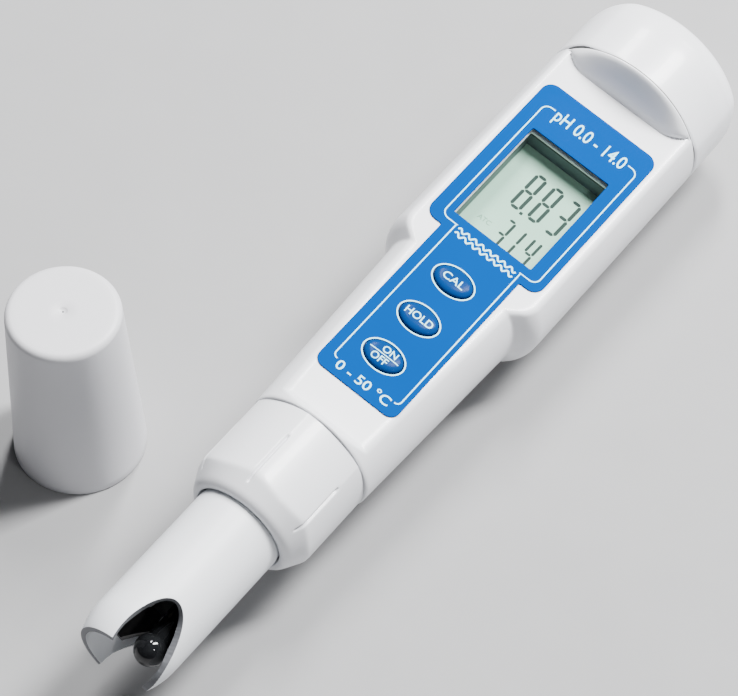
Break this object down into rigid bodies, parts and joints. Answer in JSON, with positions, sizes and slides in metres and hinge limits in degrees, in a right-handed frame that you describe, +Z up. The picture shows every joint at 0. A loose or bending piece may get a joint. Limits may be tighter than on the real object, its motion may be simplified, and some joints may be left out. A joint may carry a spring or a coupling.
{
  "type": "ph test pen",
  "caption": "Pocket pH test pen with a flat display face, push buttons, a screw collar and a pull-out glass electrode; its tapered tip cap stands beside it.",
  "frame": {"origin": "on the pen's axis, where the probe tube leaves the collar", "axes": "+Y along the pen from the electrode to the battery cap, +Z up from the surface it lies on"},
  "size_m": [0.078, 0.1807, 0.0435],
  "materials": {
    "white_plastic": "smooth satin-gloss moulding",
    "cap_plastic": "fine satin moulding",
    "blue_film": "gloss printed film",
    "blue_key": "gloss domed key",
    "clear_window": "clear polished",
    "lcd_glass": "polarised display glass",
    "black_rubber": "matte",
    "grey_plastic": "matte",
    "green_board": "solder mask",
    "black_plastic": "matte",
    "chip_ceramic": "fired ceramic",
    "white_nylon": "matte",
    "steel": "brushed",
    "gold_contact": "plated",
    "silver_wire": "bright",
    "wire_sleeve": "soft sleeve",
    "black_resin": "potting resin",
    "clear_glass": "thin blown glass",
    "junction_ceramic": "porous",
    "sponge": "open cell foam"
  },
  "bodies": {
    "root": {"housing": "white_plastic", "face_overlay": "blue_film", "window_lens": "clear_window", "window_gasket": "black_rubber", "lcd_bezel": "grey_plastic", "lcd_panel": "lcd_glass", "lcd_contact_strips": "black_rubber", "main_board": "green_board", "controller_chip": "black_plastic", "board_components": "chip_ceramic", "switch_bodies": "black_plastic", "keypad_gasket": "black_rubber", "battery_tray": "white_nylon", "button_cells": "steel", "negative_contact": "steel", "probe_socket": "black_plastic", "socket_contacts": "gold_contact", "probe_leads": "wire_sleeve"},
    "battery_cap": {"battery_cap": "white_plastic", "battery_cap_gasket": "black_rubber", "positive_contact": "steel"},
    "probe": {"probe_tube": "white_plastic", "probe_core": "black_resin", "glass_stem": "clear_glass", "glass_bulb": "clear_glass", "inner_electrode": "silver_wire", "temperature_sensor": "steel", "reference_junction": "junction_ceramic", "probe_plug": "black_plastic", "plug_pins": "gold_contact", "probe_o_ring": "black_rubber"},
    "collar": {"collar_nut": "white_plastic"},
    "tip_cap": {"tip_cap": "cap_plastic", "tip_cap_sponge": "sponge"},
    "cal_button": {"cal_button": "blue_key", "cal_plunger": "white_nylon"},
    "hold_button": {"hold_button": "blue_key", "hold_plunger": "white_nylon"},
    "power_button": {"power_button": "blue_key", "power_plunger": "white_nylon"}
  },
  "joints": [
    {"name": "battery_cap_pull", "type": "slide", "parent": "root", "child": "battery_cap", "axis": [0, 1, 0], "range_m": [0, 0.03]},
    {"name": "probe_pull", "type": "slide", "parent": "root", "child": "probe", "axis": [0, -1, 0], "range_m": [0, 0.035]},
    {"name": "collar_turn", "type": "hinge", "parent": "probe", "child": "collar", "pos_m": [0, 0.01, 0], "axis": [0, 1, 0], "continuous": true},
    {"name": "tip_cap_lift", "type": "slide", "parent": "root", "child": "tip_cap", "axis": [0, 0, 1], "range_m": [0, 0.05]},
    {"name": "cal_press", "type": "slide", "parent": "root", "child": "cal_button", "axis": [-0.2079, 0, -0.9781], "range_m": [0, 0.0005], "stiffness_N_per_m": 600},
    {"name": "hold_press", "type": "slide", "parent": "root", "child": "hold_button", "axis": [-0.2079, 0, -0.9781], "range_m": [0, 0.0005], "stiffness_N_per_m": 600},
    {"name": "power_press", "type": "slide", "parent": "root", "child": "power_button", "axis": [-0.2079, 0, -0.9781], "range_m": [0, 0.0005], "stiffness_N_per_m": 600}
  ]
}
